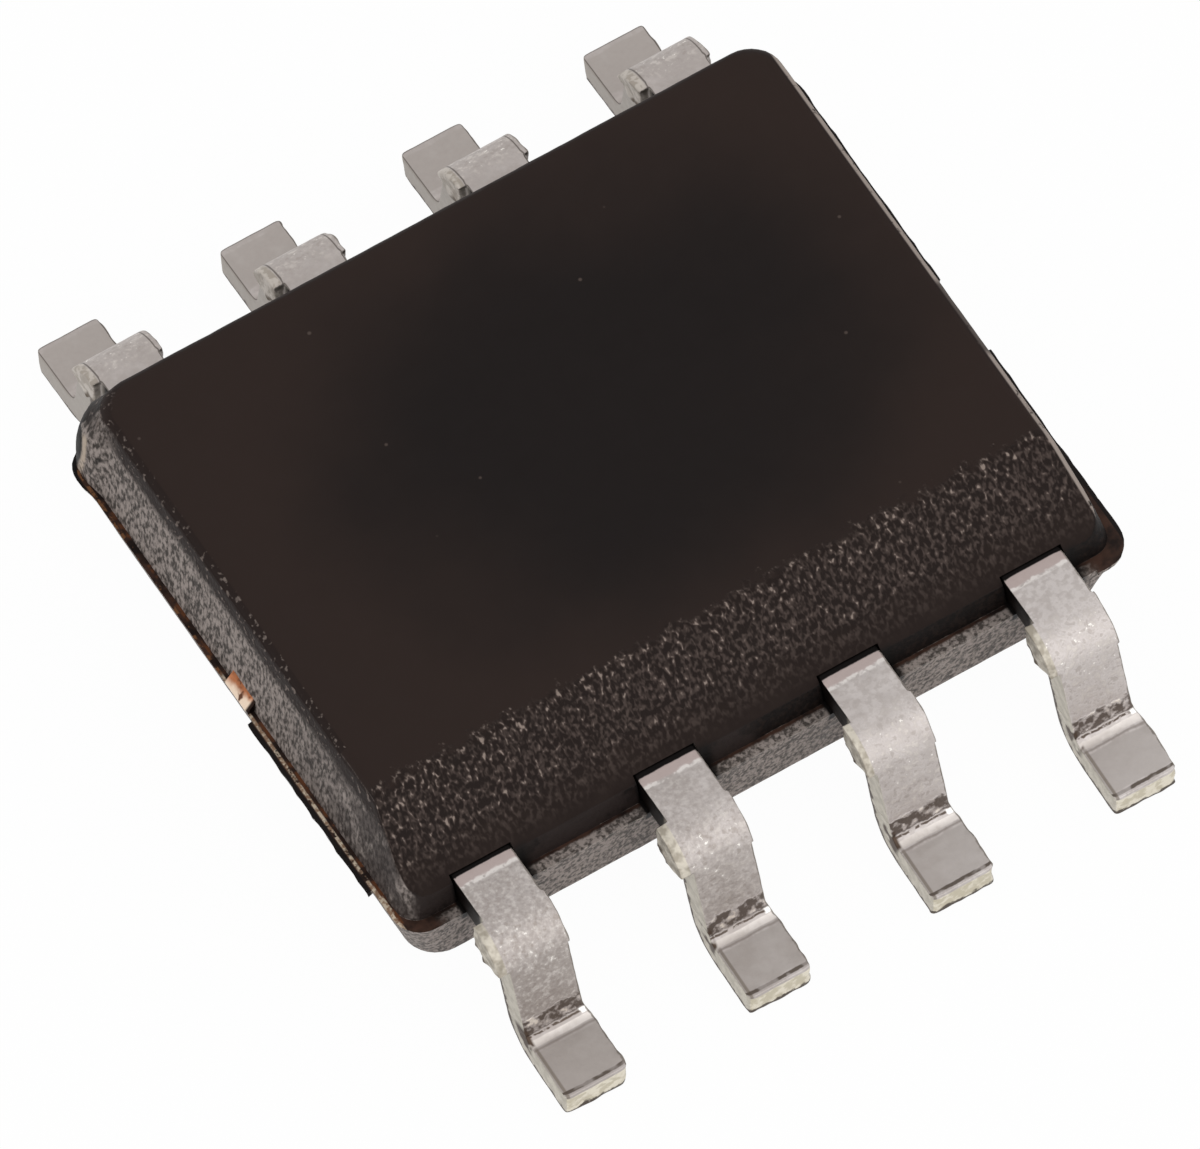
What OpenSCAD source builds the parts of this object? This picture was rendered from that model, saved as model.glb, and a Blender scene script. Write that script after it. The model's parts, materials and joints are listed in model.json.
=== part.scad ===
// Eight-lead small-outline chip package with gull-wing leads, and what is moulded inside it.
// Millimetres. The origin is the middle of the seating plane, X runs along the two rows of
// leads, Y runs across them and Z is up. Leads 1 to 4 stand on the -Y side, counted towards
// +X, and leads 5 to 8 on the +Y side, counted back towards -X.

/* [Package body] */
// Height of the flat top above the board
body_top = 1.50; // [1.45:0.01:1.75]
// Gap between the board and the underside of the body
standoff = 0.17; // [0.10:0.01:0.25]
// Length of the lower half at the parting line, along the lead rows
lower_length = 5.00; // [4.94:0.01:5.10]
// Width of the lower half at the parting line, across the lead rows
lower_width = 4.00; // [3.92:0.01:4.05]
// Length of the upper half where it meets the lower one
upper_length = 4.91; // [4.80:0.01:4.94]
// Width of the upper half where it meets the lower one
upper_width = 3.91; // [3.85:0.01:3.92]
// How far the upper half sits off centre, away from lead 1
upper_shift = 0.045; // [0:0.005:0.045]
// Slope of the upper half's two end walls from upright, in degrees
end_draft = 10; // [3:1:12]
// Slope of the upper half's two long walls from upright, in degrees
side_draft = 7; // [3:1:10]
// Slope of the lower half's walls from upright, in degrees
lower_draft = 14; // [5:1:15]
// Plan radius of the upper half's corners at the parting line
upper_foot_r = 0.14; // [0.08:0.01:0.20]
// Plan radius of the upper half's corners at the top
upper_top_r = 0.22; // [0.15:0.01:0.30]
// Plan radius of the lower half's corners at the parting line
lower_rim_r = 0.19; // [0.10:0.01:0.25]
// Plan radius of the lower half's corners at the underside
lower_base_r = 0.22; // [0.15:0.01:0.30]
// Rounding of the top and bottom rims
rim_r = 0.06; // [0.03:0.01:0.08]
// Width of the 45 degree bevel along the top edge above leads 1 to 4
bevel = 0.44; // [0.25:0.01:0.44]

/* [Parting flash] */
// How far the thin flash stands out from the lower half's end walls
flash_reach = 0.035; // [0.02:0.005:0.06]
// Thickness of the flash
flash_t = 0.035; // [0.02:0.005:0.06]
// Clear gap between the flash and the tie bars' cut ends
flash_gap = 0.05; // [0.04:0.01:0.15]
// Distance from the long wall at which the flash stops beside lead 1
flash_stop_1 = 0.42; // [0.26:0.01:0.60]
// Distance from the long wall at which the flash stops beside lead 5
flash_stop_5 = 0.10; // [0.06:0.01:0.40]
// How far the flash stands out of the long wall where it turns the corner beside lead 4
flash_wrap = 0.02; // [0.01:0.005:0.04]
// Length of the stretch that turned the corner
flash_turn = 0.22; // [0.16:0.01:0.25]
// Plan radius of the flash at that corner
flash_r = 0.13; // [0.08:0.01:0.15]

/* [Leads] */
// Distance between neighbouring leads in a row
pitch = 1.27; // [1.25:0.01:1.27]
// Span over the toe tips, across the body
lead_span = 6.18; // [6.00:0.01:6.20]
// Width of a lead
lead_w = 0.405; // [0.36:0.005:0.45]
// Thickness of the leadframe strip
lead_t = 0.205; // [0.19:0.005:0.22]
// Height of the parting line, which is the underside of the leads where they leave the body
parting_z = 0.83; // [0.80:0.01:0.85]
// Steepness of the riser between shoulder and foot, in degrees
riser_angle = 78; // [70:1:85]
// Slope of the foot, toe down, in degrees
foot_angle = 4; // [0:1:8]
// Inside radius of both bends
bend_r = 0.10; // [0.08:0.01:0.12]
// Length of the straight part of the foot
foot_l = 0.38; // [0.30:0.01:0.42]
// Stump of the sheared dam bar on the -X side of each lead
stump_left = 0.065; // [0.02:0.005:0.08]
// Stump of the sheared dam bar on the +X side of each lead
stump_right = 0.030; // [0.01:0.005:0.06]
// Gap between the lower half's wall and the dam bar stumps
stump_gap = 0.19; // [0.05:0.01:0.22]
// Height of the lower end of the dam bar stumps
stump_z = 0.78; // [0.50:0.01:0.82]

/* [Die pad and tie bars] */
// Length of the die pad along the lead rows
pad_l = 2.30; // [1.90:0.01:2.35]
// Width of the die pad across the lead rows
pad_w = 1.90; // [1.60:0.01:1.95]
// Depth of the die pad below the plane of the leads
downset = 0.195; // [0.15:0.005:0.20]
// Width of the two tie bars
tie_w = 0.26; // [0.20:0.01:0.50]
// Flat stretch of a tie bar beside the die pad
tie_foot = 0.15; // [0.10:0.01:0.25]
// Length over which a tie bar climbs to the plane of the leads
tie_rise = 0.35; // [0.30:0.01:0.45]
// Gap between neighbouring pieces of the leadframe inside the body
frame_gap = 0.25; // [0.15:0.01:0.26]

/* [Bond posts] */
// Width of the post at the inner end of leads 2, 3, 6 and 7
inner_post_w = 0.76; // [0.60:0.01:0.80]
// Depth of that post across the body
inner_post_d = 0.32; // [0.25:0.01:0.36]
// Depth of the post at the inner end of leads 1, 4, 5 and 8, across the body
outer_post_d = 0.80; // [0.60:0.01:0.85]

/* [Die] */
// Length of the silicon die along the lead rows
die_l = 1.45; // [1.20:0.01:1.60]
// Width of the silicon die across the lead rows
die_w = 1.25; // [1.00:0.01:1.40]
// Thickness of the silicon die
die_t = 0.28; // [0.20:0.01:0.28]
// Thickness of the glue under the die
glue_t = 0.025; // [0.015:0.005:0.04]
// How far the glue squeezes out past the die's edges
glue_lip = 0.05; // [0.02:0.01:0.08]

/* [Bond wires] */
// Diameter of a bond wire
wire_d = 0.050; // [0.035:0.005:0.06]
// Diameter of the squashed ball on the die
ball_d = 0.100; // [0.08:0.005:0.12]
// Height of the squashed ball
ball_h = 0.030; // [0.02:0.005:0.04]
// Height of the middle of the wire's loop above the die
loop_h = 0.150; // [0.13:0.005:0.16]
// Radius of the wire's bend above the ball
loop_r = 0.060; // [0.05:0.005:0.07]
// Distance from the die's edge to the middle of a ball
ball_inset = 0.10; // [0.08:0.01:0.15]
// Distance from a post's inner edge to the end of its wire
stitch_inset = 0.14; // [0.10:0.01:0.18]

/* [Hidden] */

LEADS = 8;
ROW = LEADS / 2;
resin = [0.16, 0.13, 0.12];
tin = [0.68, 0.66, 0.63];
copper = [0.80, 0.50, 0.34];
silver_glue = [0.62, 0.62, 0.60];
silicon = [0.30, 0.31, 0.36];
gold = [0.90, 0.72, 0.30];

corner_steps = 9;    // facets around an upright corner of the body
rim_steps = 4;       // facets across a rounded rim
bend_steps = 12;     // facets across a lead's bend
wire_sides = 8;      // facets around a bond wire
wire_steps = 8;      // rings along the falling stretch of a bond wire

lead_top = parting_z + lead_t;
pad_top = lead_top - downset;
die_z = pad_top + glue_t;
die_top = die_z + die_t;

// Row side of a lead: -1 for the front row of leads 1 to 4, 1 for the back row
function side(n) = n <= ROW ? -1 : 1;
// Place of a lead along its row
function lead_x(n) = pitch * (n <= ROW ? n - (ROW + 1) / 2 : ROW + (ROW + 1) / 2 - n);
// True for the leads in the middle of a row
function is_inner(n) = abs(lead_x(n)) < pitch;

// A closed solid through rings of points, which all hold as many points and turn the same way
module loft(rings) {
    count = len(rings);
    sides = len(rings[0]);
    points = [for (ring = rings, p = ring) p];
    walls = [for (i = [0 : count - 2], k = [0 : sides - 1])
        let (j = (k + 1) % sides, p = i * sides, q = p + sides)
        each [[p + k, q + k, q + j], [p + k, q + j, p + j]]];
    polyhedron(points, concat(
        walls,
        [[for (k = [0 : sides - 1]) k]],
        [[for (k = [sides - 1 : -1 : 0]) (count - 1) * sides + k]]));
}

// ---- Package body ----

// A rectangle with rounded corners, as a ring of points
function plan(length, width, r) =
    [for (q = [0 : 3], k = [0 : corner_steps])
        let (turn = 90 * (q + k / corner_steps),
             sx = q == 0 || q == 3 ? 1 : -1,
             sy = q < 2 ? 1 : -1)
        [sx * (length / 2 - r) + r * cos(turn), sy * (width / 2 - r) + r * sin(turn)]];

// The same ring at height z, set in from both pairs of walls
function level(length, width, inset_x, inset_y, r, z) =
    [for (p = plan(length - 2 * inset_x, width - 2 * inset_y, r)) [p[0], p[1], z]];

// Half of the body, from its parting face at height 0 to its flat end at height h. The corners'
// radius goes from r0 to r1 on the way.
module mould_half(length, width, h, draft_x, draft_y, r0, r1) {
    rim_z = [for (k = [0 : rim_steps]) h - rim_r * (1 - sin(90 * k / rim_steps))];
    rim_in = [for (k = [0 : rim_steps]) rim_r * (1 - cos(90 * k / rim_steps))];
    loft(concat(
        [level(length, width, 0, 0, r0, 0)],
        [for (k = [0 : rim_steps])
            level(length, width, rim_z[k] * tan(draft_x) + rim_in[k], rim_z[k] * tan(draft_y) + rim_in[k],
                  r1 - rim_in[k] / 2, rim_z[k])]));
}

// Wedge that takes off the top edge above leads 1 to 4
module bevel_cut() {
    rise = body_top - parting_z;
    edge_y = upper_shift - upper_width / 2 + rise * tan(side_draft);
    translate([0, edge_y + bevel, body_top])
        rotate([45, 0, 0])
            translate([-lower_length, -lower_width, 0])
                cube([2 * lower_length, 2 * lower_width, lower_width]);
}

// Thin fin of resin that ran out between the mould halves: one stretch beside lead 1, one
// beside lead 5, and one that turns the corner beside lead 4
module flash() {
    gap_y = tie_w / 2 + flash_gap;
    wall_x = lower_length / 2;
    wall_y = lower_width / 2;
    reach_x = wall_x + flash_reach;
    translate([0, 0, parting_z - flash_t])
        linear_extrude(flash_t) {
            translate([-reach_x, flash_stop_1 - wall_y]) square([wall_x, wall_y - flash_stop_1 - gap_y]);
            translate([flash_reach, gap_y]) square([wall_x, wall_y - flash_stop_5 - gap_y]);
            intersection() {
                polygon(plan(2 * reach_x, 2 * (wall_y + flash_wrap), flash_r));
                translate([wall_x - flash_turn, -wall_y - flash_wrap])
                    square([flash_turn + flash_reach, wall_y + flash_wrap - gap_y]);
            }
        }
}

module mould_body() {
    color(resin)
    difference() {
        union() {
            difference() {
                translate([0, upper_shift, parting_z])
                    mould_half(upper_length, upper_width, body_top - parting_z, end_draft, side_draft,
                               upper_foot_r, upper_top_r);
                bevel_cut();
            }
            translate([0, 0, parting_z])
                mirror([0, 0, 1])
                    mould_half(lower_length, lower_width, parting_z - standoff, lower_draft, lower_draft,
                               lower_rim_r, lower_base_r);
            flash();
        }
        for (n = [1 : LEADS]) lead(n);
        die_pad();
        die_glue();
        silicon_die();
        for (n = [1 : LEADS]) bond_wire(n);
    }
}

// ---- Leads ----

// The middle line of a formed lead as [distance from the body's middle, height, heading],
// with the heading in degrees below level. The shoulder runs level, turns down into the
// riser, and turns back into the foot, whose toe touches the board.
mid_r = bend_r + lead_t / 2;
mid_z = parting_z + lead_t / 2;
toe_z = lead_t / 2 * cos(foot_angle);
toe_u = lead_span / 2 - lead_t / 2 * sin(foot_angle);
bends_drop = mid_r * (1 - cos(riser_angle)) + mid_r * (cos(foot_angle) - cos(riser_angle));
riser_l = (mid_z - toe_z - bends_drop - foot_l * sin(foot_angle)) / sin(riser_angle);
bends_run = mid_r * sin(riser_angle) + mid_r * (sin(riser_angle) - sin(foot_angle));
shoulder_u = toe_u - bends_run - riser_l * cos(riser_angle) - foot_l * cos(foot_angle);
heel_u = toe_u - foot_l * cos(foot_angle) + mid_r * sin(foot_angle);
heel_z = toe_z + foot_l * sin(foot_angle) + mid_r * cos(foot_angle);
// The formed part starts this far from the middle, inside the body's wall
root_u = upper_width / 2 - frame_gap;

lead_path = concat(
    [[root_u, mid_z, 0]],
    [for (k = [0 : bend_steps])
        let (h = riser_angle * k / bend_steps)
        [shoulder_u + mid_r * sin(h), mid_z - mid_r * (1 - cos(h)), h]],
    [for (k = [0 : bend_steps])
        let (h = riser_angle + (foot_angle - riser_angle) * k / bend_steps)
        [heel_u - mid_r * sin(h), heel_z - mid_r * cos(h), h]],
    [[toe_u, toe_z, foot_angle]]);

function beside(p, d) = [p[0] + d * sin(p[2]), p[1] + d * cos(p[2])];

// The formed strip, from x0 to x1, on the +Y side
module formed_strip(x0, x1) {
    last = len(lead_path) - 1;
    rotate([90, 0, 90])
        translate([0, 0, x0])
            linear_extrude(x1 - x0)
                polygon(concat(
                    [for (p = lead_path) beside(p, lead_t / 2)],
                    [for (k = [last : -1 : 0]) beside(lead_path[k], -lead_t / 2)]));
}

// What the shear leaves of the dam bar on both sides of the shoulder
module dam_bar_stump() {
    u = lower_width / 2 + stump_gap;
    intersection() {
        formed_strip(-lead_w / 2 - stump_left, lead_w / 2 + stump_right);
        translate([-lead_w, u, stump_z])
            cube([2 * lead_w, lead_span / 2 - u, lead_top]);
    }
}

// The flat end of a lead inside the body, with the post that its bond wire lands on
module finger(x) {
    outer = x > pitch;
    post_x = outer ? pad_l / 2 + frame_gap : x - inner_post_w / 2;
    post_end = outer ? x + lead_w / 2 : x + inner_post_w / 2;
    post_y = outer ? tie_w / 2 + frame_gap : pad_w / 2 + frame_gap;
    post_d = outer ? outer_post_d : inner_post_d;
    translate([0, 0, parting_z])
        linear_extrude(lead_t) {
            translate([post_x, post_y]) square([post_end - post_x, post_d]);
            translate([x - lead_w / 2, post_y + post_d / 2])
                square([lead_w, root_u - post_y - post_d / 2]);
        }
}

module lead(n) {
    x = lead_x(n);
    color(tin)
    mirror([0, side(n) < 0 ? 1 : 0, 0])
        union() {
            translate([x, 0, 0]) formed_strip(-lead_w / 2, lead_w / 2);
            translate([x, 0, 0]) dam_bar_stump();
            mirror([x < 0 ? 1 : 0, 0, 0]) finger(abs(x));
        }
}

// ---- Die pad, glue and die ----

// The pad and its two tie bars are one stamping, sunk below the leads between the bars
module die_pad() {
    flat_x = pad_l / 2 + tie_foot;
    rise_x = flat_x + tie_rise;
    end_x = lower_length / 2;
    low = pad_top - lead_t;
    color(copper)
    union() {
        translate([-pad_l / 2, -pad_w / 2, low]) cube([pad_l, pad_w, lead_t]);
        for (m = [0, 1])
            mirror([m, 0, 0])
                translate([0, tie_w / 2, 0])
                    rotate([90, 0, 0])
                        linear_extrude(tie_w)
                            polygon([[0, low], [flat_x, low], [rise_x, parting_z], [end_x, parting_z],
                                     [end_x, lead_top], [rise_x, lead_top], [flat_x, pad_top], [0, pad_top]]);
    }
}

module die_glue() {
    l = die_l + 2 * glue_lip;
    w = die_w + 2 * glue_lip;
    color(silver_glue)
        translate([-l / 2, -w / 2, pad_top]) cube([l, w, glue_t]);
}

module silicon_die() {
    color(silicon)
        translate([-die_l / 2, -die_w / 2, die_z]) cube([die_l, die_w, die_t]);
}

// ---- Bond wires ----

// Where a wire's ball sits on the die
function ball_at(n) =
    let (sx = sign(lead_x(n)), sy = side(n))
    is_inner(n)
        ? [sx * die_l / 4, sy * (die_w / 2 - ball_inset)]
        : [sx * (die_l / 2 - ball_inset), sy * die_w / 4];

// Where the same wire ends on its lead's post
function stitch_at(n) =
    let (sx = sign(lead_x(n)), sy = side(n))
    is_inner(n)
        ? [sx * pitch / 2, sy * (pad_w / 2 + frame_gap + stitch_inset)]
        : [sx * (pad_l / 2 + frame_gap + stitch_inset), sy * (tie_w / 2 + frame_gap + outer_post_d / 2)];

// Rings of a wire as [distance along its plan line, height, heading above level, radius]:
// the squashed ball, the neck, the bend over and the long fall to the post
function wire_rings(run) =
    let (r = wire_d / 2, top = die_top + loop_h, fall = top - lead_top, rest = run - loop_r)
    concat(
        [[0, die_top, 90, ball_d / 2], [0, die_top + ball_h, 90, ball_d / 2]],
        [[0, die_top + ball_h + r / 4, 90, r]],
        [for (a = [0 : 22.5 : 90])
            [loop_r * (1 - cos(a)), top - loop_r * (1 - sin(a)), 90 - a, r]],
        [for (k = [1 : wire_steps])
            let (t = k / wire_steps)
            [loop_r + rest * t, top - fall * pow(t, 2), -atan(2 * fall * t / rest), r]]);

// A wire's closed tube, which starts at a and heads for b
module swept_wire(a, b) {
    run = norm(b - a);
    ahead = (b - a) / run;
    loft([for (g = wire_rings(run))
        [for (k = [0 : wire_sides - 1])
            let (turn = 360 * (k + 0.5) / wire_sides,
                 across = g[3] * cos(turn),
                 up = g[3] * sin(turn),
                 s = g[0] - up * sin(g[2]))
            [a[0] + s * ahead[0] - across * ahead[1],
             a[1] + s * ahead[1] + across * ahead[0],
             g[1] + up * cos(g[2])]]]);
}

module bond_wire(n) {
    color(gold)
    difference() {
        swept_wire(ball_at(n), stitch_at(n));
        translate([-lower_length / 2, -lower_width / 2, 0])
            cube([lower_length, lower_width, lead_top]);
    }
}

mould_body();
lead(1);  // lead_1
lead(2);  // lead_2
lead(3);  // lead_3
lead(4);  // lead_4
lead(5);  // lead_5
lead(6);  // lead_6
lead(7);  // lead_7
lead(8);  // lead_8
die_pad();
die_glue();
silicon_die();
bond_wire(1);  // bond_wire_1
bond_wire(2);  // bond_wire_2
bond_wire(3);  // bond_wire_3
bond_wire(4);  // bond_wire_4
bond_wire(5);  // bond_wire_5
bond_wire(6);  // bond_wire_6
bond_wire(7);  // bond_wire_7
bond_wire(8);  // bond_wire_8
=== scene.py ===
# %% [markdown]
# # A small-outline chip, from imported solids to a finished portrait
#
# The chip is five millimetres long: a black moulded body, eight tinned leads bent like
# gull wings, and inside, out of sight, a silicon die on a copper pad with gold wires. The
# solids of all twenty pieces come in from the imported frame, at their real size and place.
# This lesson gives them their looks. What shows from outside is modelled again with the
# marks of how it was made: mould grain, flash, sheared stumps, rounded tin. What is hidden
# keeps its solid and only gets a finish.
#
# Lengths are in millimetres while a piece is modelled and are turned into metres at the end,
# because a number such as 0.405 is easier to check against a drawing than 0.000405.

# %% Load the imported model
import json
import math

import bmesh
import bpy
from mathutils import Matrix, Vector, noise

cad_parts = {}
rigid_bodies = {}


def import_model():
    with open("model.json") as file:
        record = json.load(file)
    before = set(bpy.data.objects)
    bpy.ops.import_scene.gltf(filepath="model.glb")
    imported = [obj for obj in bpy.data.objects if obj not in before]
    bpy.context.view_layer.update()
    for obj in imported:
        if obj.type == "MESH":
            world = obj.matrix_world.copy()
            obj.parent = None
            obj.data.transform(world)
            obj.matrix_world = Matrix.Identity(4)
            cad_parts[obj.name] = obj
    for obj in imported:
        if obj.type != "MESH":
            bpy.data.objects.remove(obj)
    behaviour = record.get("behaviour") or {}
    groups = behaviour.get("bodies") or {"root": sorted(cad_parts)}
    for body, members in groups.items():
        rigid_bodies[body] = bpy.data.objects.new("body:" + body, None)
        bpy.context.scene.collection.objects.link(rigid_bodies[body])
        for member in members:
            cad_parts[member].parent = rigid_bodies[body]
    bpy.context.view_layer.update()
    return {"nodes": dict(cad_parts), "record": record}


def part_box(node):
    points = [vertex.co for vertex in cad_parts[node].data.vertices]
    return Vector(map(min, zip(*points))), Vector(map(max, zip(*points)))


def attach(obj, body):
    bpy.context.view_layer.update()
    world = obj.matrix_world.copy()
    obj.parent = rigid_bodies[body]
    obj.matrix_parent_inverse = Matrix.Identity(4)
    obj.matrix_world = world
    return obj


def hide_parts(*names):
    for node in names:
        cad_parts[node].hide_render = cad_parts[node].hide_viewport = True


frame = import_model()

MM = 0.001
print("nodes in the frame:", len(frame["nodes"]))

# %% [markdown]
# ## Measure before modelling
#
# Every size that the solids can tell is read from them, so the new pieces follow if the
# solids change. A drawing's other numbers, such as a bend's inside radius, can't be read
# off a box. Those are written here once, with the same values as in the solids. Only the
# scene has the swollen corner, and a stump of its own width on each lead.

# %% Sizes of the body
def millimetres(node):
    """The two corners of a solid's box."""
    low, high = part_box(node)
    return low / MM, high / MM


def points_of(node):
    """All points of a solid."""
    return [v.co / MM for v in frame["nodes"][node].data.vertices]


AT_BAR_END = 0.01                  # points this close to a tie bar's end belong to it
body_low, body_high = millimetres("mould_body")
top = body_high.z
standoff = body_low.z
half_length = millimetres("die_pad")[1].x      # the tie bars end flush with the lower half's rim
half_width = body_high.y
flash_reach = body_high.x - half_length
parting = min(p.z for p in points_of("die_pad") if p.x > half_length - AT_BAR_END)
print(f"body {2 * half_length:.2f} x {2 * half_width:.2f} mm,",
      f"top {top:.2f}, parting line {parting:.3f}")

upper_length = 4.91                # the upper half, at the parting line
upper_width = 3.91
upper_shift = half_width - upper_width / 2     # it is flush with the lower half at the back
end_draft = math.radians(10)       # how far the walls lean in
side_draft = math.radians(7)
lower_draft = math.radians(14)
rim_r = 0.06
bevel_w = 0.44
flash_t = 0.035
LUMP_TOP = 1.20                    # the corner beside lead 8 is swollen, and most at this height

# %% Sizes of the leads
def foot_mount(n):
    """The place where the board carries lead n, from the record."""
    return next(m for m in frame["record"]["mounts"] if m["name"] == f"lead_{n}_foot")


LEADS = range(1, 9)
lead_x = {n: foot_mount(n)["pos_m"][0] / MM for n in LEADS}
row_side = {n: math.copysign(1, foot_mount(n)["pos_m"][1]) for n in LEADS}
foot_angle = math.asin(abs(foot_mount(1)["axis"][1]))
lead_low, lead_high = millimetres("lead_2")
toe_y = -lead_low.y
lead_top = lead_high.z
lead_t = lead_top - parting
AT_TOE = 0.05                      # points this close to the toe's end belong to it
toe_points = [p.x for p in points_of("lead_2") if p.y < -toe_y + AT_TOE]
lead_w = max(toe_points) - min(toe_points)
print(f"lead {lead_w:.3f} wide, {lead_t:.3f} thick,",
      f"toe at {toe_y:.3f}, foot slope {math.degrees(foot_angle):.1f}")

riser_angle = math.radians(78)
bend_r = 0.10
foot_l = 0.38
stump_y = half_width + 0.19        # a dam bar's stump begins here on the shoulder
stump_z = 0.78                     # and ends here on the riser
STUMP_TRIM = (0.03, 0.02)          # its rounded ends keep this much inside those limits
STUMP_LEFT = {1: 0.072, 2: 0.082, 3: 0.056, 4: 0.062, 5: 0.065, 6: 0.055, 7: 0.070, 8: 0.058}
STUMP_RIGHT = 0.030
FRONT_STUMP_RIGHT = 0.014          # on leads 1 to 4 the punch passed closer on this side

# %% [markdown]
# A formed lead is one strip with two bends. Its lengths follow from the mounts: both bends
# keep the same inside radius, and the riser takes what height is left between the shoulder
# and the foot. Distances along the strip start at the body's front wall.

# %% The path of the strip
mid_r = bend_r + lead_t / 2
mid_z = parting + lead_t / 2
toe_z = lead_t / 2 * math.cos(foot_angle)
toe_mid_y = toe_y - lead_t / 2 * math.sin(foot_angle)
bends_drop = mid_r * (1 + math.cos(foot_angle) - 2 * math.cos(riser_angle))
riser_l = (mid_z - toe_z - bends_drop - foot_l * math.sin(foot_angle)) / math.sin(riser_angle)
bends_run = mid_r * (2 * math.sin(riser_angle) - math.sin(foot_angle))
shoulder_y = toe_mid_y - bends_run - riser_l * math.cos(riser_angle) - foot_l * math.cos(foot_angle)
wall_y = upper_width / 2 - upper_shift          # the front wall at the parting line
SHOULDER = shoulder_y - wall_y
FIRST_BEND = SHOULDER + mid_r * riser_angle
RISER = FIRST_BEND + riser_l
SECOND_BEND = RISER + mid_r * (riser_angle - foot_angle)
TOE = SECOND_BEND + foot_l
print(f"strip outside the body: {TOE:.3f} mm, of which the riser is {riser_l:.3f}")

riser_top_z = mid_z - mid_r + mid_r * math.cos(riser_angle)
STUMP_START = stump_y + STUMP_TRIM[0] - wall_y
STUMP_END = FIRST_BEND + (riser_top_z - stump_z) / math.sin(riser_angle) - STUMP_TRIM[1]
print(f"stumps from {STUMP_START:.3f} to {STUMP_END:.3f} along the strip")

# %% [markdown]
# ## Camera
#
# The view looks down on the chip from its lead 1 corner, from nearly overhead. A long lens
# from far away keeps the two rows of leads parallel, as in a product picture of a small
# part. The roll turns the picture about its own middle without moving the camera. The chip
# is small in metres, so the clipping starts close to the lens.

# %% Camera
CAMERA_AZIMUTH = math.radians(-26.24)
CAMERA_ELEVATION = math.radians(58.74)
CAMERA_ROLL = math.radians(-5.54)
CAMERA_DISTANCE = 286.0
SENSOR = 36.0
FRAME_WIDTH = 7.137                # what the picture takes in at the chip
AIM = Vector((0, 0, 0.85))         # a point in the middle of the chip
AIM_RIGHT, AIM_DOWN = 0.018, 0.428     # from there to the middle of the picture

back = Vector((math.sin(CAMERA_AZIMUTH) * math.cos(CAMERA_ELEVATION),
               -math.cos(CAMERA_AZIMUTH) * math.cos(CAMERA_ELEVATION),
               math.sin(CAMERA_ELEVATION)))
level_right = Vector((math.cos(CAMERA_AZIMUTH), math.sin(CAMERA_AZIMUTH), 0))
level_up = back.cross(level_right)
right = level_right * math.cos(CAMERA_ROLL) + level_up * math.sin(CAMERA_ROLL)
up = back.cross(right)
aim = AIM + right * AIM_RIGHT - up * AIM_DOWN
eye = aim + back * CAMERA_DISTANCE

camera = bpy.data.objects.new("camera", bpy.data.cameras.new("camera"))
camera.data.sensor_width = SENSOR
camera.data.lens = SENSOR * CAMERA_DISTANCE / FRAME_WIDTH
camera.data.clip_start = 10 * MM
camera.data.clip_end = 10
turned = Matrix((right, up, back)).transposed().to_4x4()
camera.matrix_world = Matrix.Translation(eye * MM) @ turned
bpy.context.scene.collection.objects.link(camera)
bpy.context.scene.camera = camera
print(f"lens {camera.data.lens:.0f} mm, {CAMERA_DISTANCE:.0f} mm away")

# %% [markdown]
# ## Light
#
# Makers show small parts in a light tent: white cloth on every side, so that metal shows
# no lamps and black resin shows its form. A white world does the same job. Rays that
# the camera, gloss or glass sends out see it at full strength. Plain diffuse light is
# turned down, so that a colour renders about as it is written. A broad sun from the front,
# as from a window, models the bends and the mould grain.

# %% World and lamps
scene = bpy.context.scene
scene.view_settings.view_transform = "Standard"

AMBIENT = 0.72          # what is left of the white world in plain diffuse light
world = bpy.data.worlds.new("light tent")
scene.world = world
world.use_nodes = True


def seen_directly(tree):
    """1 for camera, glossy and transmission rays, 0 for diffuse light."""
    path = tree.nodes.new("ShaderNodeLightPath")
    total = path.outputs["Is Camera Ray"]
    for name in ("Is Glossy Ray", "Is Transmission Ray"):
        either = tree.nodes.new("ShaderNodeMath")
        either.operation = "MAXIMUM"
        tree.links.new(total, either.inputs[0])
        tree.links.new(path.outputs[name], either.inputs[1])
        total = either.outputs[0]
    return total


strength = world.node_tree.nodes.new("ShaderNodeMix")
strength.inputs[2].default_value = AMBIENT
strength.inputs[3].default_value = 1.0
background = world.node_tree.nodes["Background"]
background.inputs["Color"].default_value = (1, 1, 1, 1)
world.node_tree.links.new(seen_directly(world.node_tree), strength.inputs[0])
world.node_tree.links.new(strength.outputs[0], background.inputs["Strength"])


def sun(name, towards, energy, spread):
    """A lamp far away in one direction, as wide in the sky as its spread in degrees."""
    lamp = bpy.data.lights.new(name, "SUN")
    lamp.energy = energy
    lamp.angle = math.radians(spread)
    holder = bpy.data.objects.new(name, lamp)
    holder.rotation_euler = Vector(towards).to_track_quat("Z", "Y").to_euler()
    scene.collection.objects.link(holder)


sun("window", towards=(0.10, -0.80, 0.60), energy=0.6, spread=60)
print("ambient", AMBIENT, "and one sun")

# %% [markdown]
# The floor is white paper. To the camera it shines a little by itself, so it meets the
# white background without a seam, and what is left of its own shading keeps the chip's
# faint shadow.

# %% Floor
PAPER_WHITE = 0.95
PAPER_SHINE = 0.97      # how much of the paper's light is its own, where the camera sees it
floor_mesh = bpy.data.meshes.new("floor")
sheet = bmesh.new()
bmesh.ops.create_grid(sheet, x_segments=1, y_segments=1, size=0.5)
sheet.to_mesh(floor_mesh)
sheet.free()
floor = bpy.data.objects.new("floor", floor_mesh)
scene.collection.objects.link(floor)

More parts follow.
